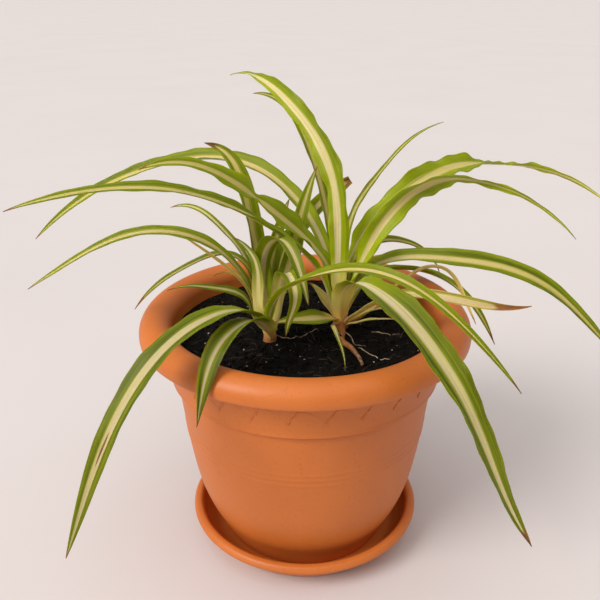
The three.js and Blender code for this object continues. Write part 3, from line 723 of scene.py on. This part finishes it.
def leaf_tissue():
    """Leaf skin, read from the leaf's own attributes. The cream stripe fades into the green margins along
    streaks that run with the veins. Base, tip, age and underside change the colours, and the veins are a
    fine lengthwise relief.
    place: where a point is across the leaf, from -1 to 1, and its distance from base and tip in
    centimetres. kind: the stripe's width, the age, and a number that shifts the streaks. more: the
    browned length in centimetres, how pale the leaf is, and 1 on the underside."""
    material, start = new_material("leaf")
    place = start.add("ShaderNodeAttribute", {"attribute_name": "place"}, output="Vector")
    kind = start.add("ShaderNodeAttribute", {"attribute_name": "kind"}, output="Vector")
    more = start.add("ShaderNodeAttribute", {"attribute_name": "more"}, output="Vector")
    across, along, left = place.part(0), place.part(1), place.part(2)
    stripe, age, seed = kind.part(0), kind.part(1), kind.part(2)
    tip, pale, under = more.part(0), more.part(1), more.part(2)

    def streaks(density, length, shift, detail=2.0):
        """Noise drawn out along the leaf."""
        vector = start.add(
            "ShaderNodeCombineXYZ", None, {0: across * density, 1: along * length, 2: seed + shift}
        )
        return vector.noise(1, detail)

    # The stripe between the margins, which are brightest in fresh leaves. Close to the crown both the green
    # and the cream are lightened as painted light, standing in for light that shines through the leaves
    # inside the crowns.
    off = across.reckon("ABSOLUTE", across)
    broad = streaks(2.2, 0.16, 0)
    fine = streaks(9, 0.1, 20, 3)
    hair = streaks(15, 0.1, 40)
    edge = off + (broad - 0.5) * 0.25 + (fine - 0.5) * 0.4
    cream = edge.rises(stripe + 0.05, stripe - 0.05)
    soft = edge.rises(stripe + 0.24, stripe)
    # inner is painted light: 1 near the crown, fading to 0 at 0.45 of the leaf; it lightens the green and the
    # cream there in place of light shining through the leaves.
    inner = along.reckon("DIVIDE", along, along + left).rises(0.45, 0.1)
    green = broad.rises(0.35, 0.65).between(colour(58, 69, 0), colour(97, 107, 0))
    green = (hair.rises(0.45, 0.65) * 0.45).between(green, colour(136, 146, 14))
    # The green is lightened for fresh leaves (their own colour), near the crown (painted light) and a little
    # on the underside, which is partly its own paler colour and partly painted light.
    green = (age.rises(0, -1) * 0.45 + inner * 0.55 + under * 0.1).between(green, colour(164, 178, 8))
    green = (off.rises(0.8, 1.0) * 0.4).between(green, colour(52, 62, 0))
    blade = (soft * 0.6).between(green, colour(158, 161, 34))
    # The cream is whiter near the crown as painted light; pale whitens the whole leaf's stripe, which is its
    # own colour.
    light = (pale + inner * 0.5).between(colour(200, 182, 124), colour(226, 214, 178))
    light = (age.rises(-0.5, 0) * 0.5).between(light, colour(172, 160, 136))
    light = (hair.rises(0.46, 0.62) * 0.45).between(light, colour(172, 168, 80))
    blade = cream.between(blade, light)
    # The clasping base is cream with greenish veins, and tan where it is low on the crown.
    young = along.rises(2.4 + pale * 6, 0.8 + pale * 3)
    veins = hair.rises(0.52, 0.64) * 0.35
    blade = (young * 0.95).between(blade, veins.between(colour(255, 234, 148), colour(190, 182, 80)))
    height = start.add("ShaderNodeTexCoord", output="Object").part(2)
    foot = height.rises(0.184, 0.164) * along.rises(2.8, 1.2)
    blade = (foot * 0.6).between(blade, (hair * 0.6).between(colour(253, 208, 122), colour(208, 142, 72)))
    # Old leaves turn to straw in streaks, and the tips are browned with a ragged edge.
    dry = (streaks(5, 0.3, 60, 4) * 0.5 + age * 1.1).rises(0.55, 1.0)
    straw = fine.rises(0.35, 0.65).between(colour(232, 206, 134), colour(196, 150, 84))
    blade = dry.between(blade, straw)
    ragged = left + (fine - 0.5) * 0.5 - off * 0.25
    brown = ragged.rises(tip + 0.25, tip - 0.15)
    burnt = (hair.rises(0.3, 0.7) * 0.7 + dry * 0.6).between(colour(70, 40, 22), colour(176, 112, 66))
    blade = (brown * 0.92).between(blade, burnt)
    ridges = across.reckon("SINE", across * 70) * 0.3 + fine * 0.8
    set_surface(material, {
        "Base Color": blade,
        "Roughness": 0.36 + 0.3 * dry + 0.12 * fine,
        "Specular IOR Level": 0.22,
        "Subsurface Weight": 0.9,
        "Subsurface Radius": (0.9, 1.0, 0.12),
        "Subsurface Scale": 0.0022,
        "Normal": ridges.bump(0.35, 0.0003),
    })
    return material


def softly(x):
    """A step from 0 to 1 that starts and ends level."""
    x = np.clip(x, 0, 1)
    return x * x * (3 - 2 * x)


leaf_skin = leaf_tissue()
LINE_STEPS = 400  # straight steps in which the middle line of a blade is summed up
STATION = 2.1  # millimetres between the cross-sections of a blade
JOINT = 20  # millimetres along a blade at which its clasping base has come over to it
BLADE_FOLD = 0.3  # radians of each half of a blade above flat near the crown
ACROSS = np.sin(np.linspace(-1, 1, 15) * 1.35) / math.sin(1.35)  # places across a leaf, closest at its edges
MIDDLE = len(ACROSS) // 2


def leaf_line(crown, ring, side, length, lift, rise, heading):
    """The middle line of a leaf. The blade's line is the sum of small steps at the given rise and heading.
    The base leaves the neck of the crown upright and comes over to the blade in a curve of third degree.
    Returns the line's points, its directions and headings, and for each point how much of the base lies
    behind it, from 0 to 1, and its place along the leaf."""
    centre = np.array(CROWNS[crown], float)
    ring_radius, ring_height = RINGS[ring]
    spoke = np.array([math.cos(math.radians(side)), math.sin(math.radians(side)), 0])
    start = centre + ring_radius * spoke + [0, 0, ring_height + lift]

    def direction(t):
        up, turn = np.radians(even_steps(rise, t)), np.radians(even_steps(heading, t))
        return np.stack([np.cos(up) * np.cos(turn), np.cos(up) * np.sin(turn), np.sin(up)], -1), turn

    summed = np.cumsum(direction((np.arange(LINE_STEPS) + 0.5) / LINE_STEPS)[0], 0)
    line = start + np.concatenate([np.zeros((1, 3)), summed * length / LINE_STEPS])
    joint = min(JOINT / length, 0.3)
    t = np.linspace(joint, 1, max(24, int(length / STATION)) + 1)
    blade = np.stack([np.interp(t * LINE_STEPS, np.arange(LINE_STEPS + 1), line[:, k]) for k in range(3)], -1)
    blade_ahead, blade_turn = direction(t)

    neck_radius, neck_heights = NECKS[crown]
    outwards = (blade[0] - centre) * [1, 1, 0]
    outwards /= np.hypot(*outwards[:2]) + 0.01
    foot = centre + neck_radius * (0.5 + 0.06 * ring_radius) * (outwards + spoke) / 2
    foot += [0, 0, neck_heights[ring]]
    gap = np.linalg.norm(blade[0] - foot)
    second = foot + [0, 0, gap / 2.5]
    third = blade[0] - blade_ahead[0] * gap / 2.5
    s = np.linspace(0, 1, max(10, int(gap / 1.6)))[:-1, None]
    base = (1 - s) ** 3 * foot + 3 * s * (1 - s) ** 2 * second
    base += 3 * s * s * (1 - s) * third + s ** 3 * blade[0]
    base_ahead = (1 - s) ** 2 * (second - foot) + 2 * s * (1 - s) * (third - second)
    base_ahead += s * s * (blade[0] - third)
    base_ahead /= np.linalg.norm(base_ahead, axis=-1, keepdims=True)
    away = math.atan2(outwards[1], outwards[0])
    swing = (blade_turn[0] - away + math.pi) % (2 * math.pi) - math.pi
    base_turn = blade_turn[0] - swing * softly(1 - s[:, 0])

    return (
        np.concatenate([base, blade]),
        np.concatenate([base_ahead, blade_ahead]),
        np.concatenate([base_turn, blade_turn]),
        np.concatenate([s[:, 0], np.ones(len(t))]),
        np.concatenate([joint * s[:, 0], t]),
    )


def half_width(length, width, look, grown, share):
    """Half the width of a leaf at each point of its middle line. It opens like a sine over the first 0.45
    of the leaf and tapers over the last half, but close to the crown it is never wider than its room there.
    The base adds its own width, which shrinks evenly: both are joined by the fourth root of the sum of
    their fourth powers."""
    opening = 0.4 + 0.6 * np.sin(np.pi / 2 * np.clip(share / 0.45, 0, 1))
    taper = np.clip((1 - share) / 0.5, 0, 1) ** 0.7
    taper = np.maximum(taper, look["blunt"] * np.maximum(1 - share, 0.02) ** 0.2)
    slim_from, slim_to = look["slim"]
    slimmed = 1 - (1 - slim_to) * softly((share - slim_from + 0.06) / 0.12)
    half = np.minimum(width / 2 * opening * slimmed * np.maximum(taper, 0.02), 3 + 0.18 * share * length)
    half *= 1 - 0.6 * np.exp(-(((share - look["pinch"]) / 0.035) ** 2))
    half *= 1 - look["narrow"] * softly(1 - share / 0.4)
    clasp = look.get("base", 0.13 * width + 1.4) * (0.6 + 0.4 * grown) * np.clip(1 - share / 0.4, 0, 1)
    return (half ** 4 + clasp ** 4) ** 0.25 * (0.7 + 0.3 * softly(grown))


def summed_across(values):
    """The sum of a value across the leaf, counted from its middle line, in steps that take the mean of
    neighbours."""
    steps = (values[:, 1:] + values[:, :-1]) / 2 * np.diff(ACROSS)
    sums = np.concatenate([np.zeros((len(values), 1)), np.cumsum(steps, 1)], 1)
    return sums - sums[:, [MIDDLE]]


def leaf_surface(crown, ring, side, length, width, lift, fold, rise, heading, roll, look, seed):
    """A leaf as a closed thin surface. At every point of the middle line the cross-section is a line that
    turns by an angle: evenly where it wraps the crown, and mostly in the middle further out, which folds
    the blade. The edges swing up and down in waves, and both faces lie half a thickness away."""
    middle, ahead, turn, grown, share = leaf_line(crown, ring, side, length, lift, rise, heading)
    half = half_width(length, width, look, grown, share)[:, None]
    distance = np.concatenate([[0], np.cumsum(np.linalg.norm(np.diff(middle, axis=0), axis=-1))])
    flat = np.stack([-np.sin(turn), np.cos(turn), 0 * turn], -1)
    raised = np.cross(ahead, flat)
    raised /= np.linalg.norm(raised, axis=-1, keepdims=True)
    flat = np.cross(raised, ahead)
    lean = np.radians(even_steps([0, *roll], share) * softly(grown))[:, None]
    across = (flat * np.cos(lean) + raised * np.sin(lean))[:, None]
    up = (raised * np.cos(lean) - flat * np.sin(lean))[:, None]

    wrapped = np.exp(-np.clip(distance - 10, 0, None) / 9)
    withered = max(look["age"], 0) * 0.55
    withered = withered + 1.1 * np.exp(-(1 - share) * length / max(look["tip"], 1))
    folded = BLADE_FOLD + (fold - BLADE_FOLD) * softly(share / 0.3)
    angle = folded * (1 + withered) + 0.6 * wrapped
    bend = 1.12 * np.tanh(ACROSS / 0.28) - 0.34 * ACROSS ** 3
    bend = (1 - wrapped[:, None]) * bend + wrapped[:, None] * 1.25 * ACROSS
    slope = angle[:, None] * bend

    # Long waves in the outer half of each side, with shorter ones at the very edge.
    swell = look["wave"] * np.sin(np.pi * share ** 0.8)[:, None]
    along = (share * length)[:, None]
    waves = ACROSS ** 2 * swell * np.sin(along * 0.13 + ACROSS * 1.1)
    waves += 0.45 * np.abs(ACROSS) ** 3 * swell * np.sin(along * 0.37 + ACROSS * 2.3 + seed)
    run = half * summed_across(np.cos(slope))
    climb = half * summed_across(np.sin(slope)) + waves
    surface = middle[:, None] + across * run[..., None] + up * climb[..., None]

    normal = up * np.cos(slope)[..., None] - across * np.sin(slope)[..., None]
    body = (0.5 + 0.4 * np.exp(-distance / 30) + 0.0015 * length * (1 - share))[:, None]
    thick = np.maximum(body * (1 - 0.72 * np.abs(ACROSS) ** 3), 0.12)
    keel = 0.4 * body * np.exp(-((ACROSS / 0.1) ** 2)) * (half > 1.5)  # under the middle of broad stretches
    top = surface + normal * (thick / 2)[..., None]
    bottom = surface - normal * (thick / 2 + keel)[..., None]
    points = np.concatenate([top, bottom[:, ::-1]], 1)

    rows, columns = points.shape[:2]
    i = np.arange(len(ACROSS) - 1)
    base_cap = np.stack([i, i + 1, columns - 2 - i, columns - 1 - i], -1)
    tip_cap = (rows - 1) * columns + base_cap[:, ::-1]
    faces = np.concatenate([grid_faces(rows, columns)[:, ::-1], base_cap, tip_cap])

    over = np.tile(np.concatenate([ACROSS, ACROSS[::-1]]), (rows, 1))
    from_base = distance[:, None].repeat(columns, 1) / 10
    to_tip = (distance[-1] - distance)[:, None].repeat(columns, 1) / 10
    place = np.stack([over + look["shift"], from_base, to_tip], -1)
    under = np.tile(np.repeat([0.0, 1.0], len(ACROSS)), rows)
    scar = np.exp(-((share[:, None] - look["scar"]) / 0.08) ** 2 - (over / 0.22) ** 2)
    browned = np.maximum(look["tip"] / 10, scar * (to_tip + 2.5))
    return points.reshape(-1, 3), faces, place.reshape(-1, 3), under, browned.ravel()


def set_vectors(mesh, name, values):
    """Stores three numbers at every point of a mesh, for its material to read."""
    layer = mesh.attributes.new(name, "FLOAT_VECTOR", "POINT")
    layer.data.foreach_set("vector", np.asarray(values, np.float32).ravel())


for number, (name, row) in enumerate([*LEAVES.items(), *STRIPS.items()]):
    look = {**USUAL, **LOOKS[name]}
    crown = name.split("_")[0]
    solids = [f"leaf_{name}"] if name in LEAVES else []
    points, faces, place, under, browned = leaf_surface(crown, *row, look, number)
    leaf = make_piece(f"leaf_{name}_fine", points, [faces], leaf_skin, solids)
    ones = np.ones(len(points))
    set_vectors(leaf.data, "place", place)
    set_vectors(leaf.data, "kind", np.outer(ones, [look["stripe"], look["age"], number * 3.7]))
    set_vectors(leaf.data, "more", np.stack([browned, ones * look["pale"], under], -1))


# Thin young roots: white threads that lie on the potting mix beside the crowns, and dip into it here and
# there.

THREAD_RADIUS = 0.42
THREADS = [
    ((-19, -16), (-12, -21), (-5, -15), (3, -10), (9, -6)),
    ((34, -30), (38, -36), (43, -40), (48, -45), (52, -47)),
    ((26, -12), (30, -17), (31, -22), (34, -26), (39, -27)),
    ((45, -4), (50, -7), (55, -7), (59, -10), (63, -9)),
]
thread_white, start = new_material("young root")
tone = start.add("ShaderNodeTexCoord", output="Object").noise(220, 3)
set_surface(thread_white, {
    "Base Color": tone.rises(0.4, 0.65).between(colour(128, 102, 80), colour(206, 186, 160)),
    "Roughness": 0.6,
})
share = np.linspace(0, 1, 44)
thread_routes = []
for places in THREADS:
    x, y = (even_steps(values, share) for values in zip(*places))
    thread_routes.append(np.stack([x, y, soil_height(x, y) + 0.5 + 0.6 * np.sin(9 * share)], -1))
thread_sizes = np.full(len(THREADS), THREAD_RADIUS)
thread_points, thread_faces = tubes(np.array(thread_routes), thread_sizes, sides=8)
make_piece("young_roots", thread_points, thread_faces, thread_white, [])


# The floor and the light: a plain pale floor, a soft light from the upper left in front, as from a
# window, a softer one from above, and the pale room all round.

FLOOR_REACH = 60  # metres
floor_corners = [(x * FLOOR_REACH, y * FLOOR_REACH, 0) for x, y in ((-1, -1), (1, -1), (1, 1), (-1, 1))]
floor_mesh = bpy.data.meshes.new("floor")
floor_mesh.from_pydata(floor_corners, [], [(0, 1, 2, 3)])
floor = bpy.data.objects.new("floor", floor_mesh)
bpy.context.collection.objects.link(floor)
floor_paint, start = new_material("floor")
tone = start.add("ShaderNodeTexCoord", output="Object").noise(3, 2)
set_surface(floor_paint, {
    "Base Color": tone.between(colour(210, 203, 203), colour(216, 209, 210)),
    "Roughness": 0.7,
})
floor_mesh.materials.append(floor_paint)

# Each light's strength, its spread in radians, and its tilt and turn in degrees.
LIGHTS = {"window": (2.15, 0.5, 52, -54), "ceiling": (1.5, 1.5, 14, -20)}
for name, (energy, angle, tilt, turn) in LIGHTS.items():
    lamp = bpy.data.lights.new(name, "SUN")
    lamp.energy = energy
    lamp.angle = angle
    lamp.color = (1.0, 0.97, 0.92)
    light = bpy.data.objects.new(name, lamp)
    light.rotation_euler = (math.radians(tilt), 0, math.radians(turn))
    bpy.context.collection.objects.link(light)
sky = bpy.data.worlds.new("room light")
sky.use_nodes = True
sky.node_tree.nodes["Background"].inputs["Color"].default_value = (1.0, 0.97, 0.94, 1.0)
sky.node_tree.nodes["Background"].inputs["Strength"].default_value = 0.36
bpy.context.scene.world = sky
bpy.context.scene.view_settings.view_transform = "Standard"
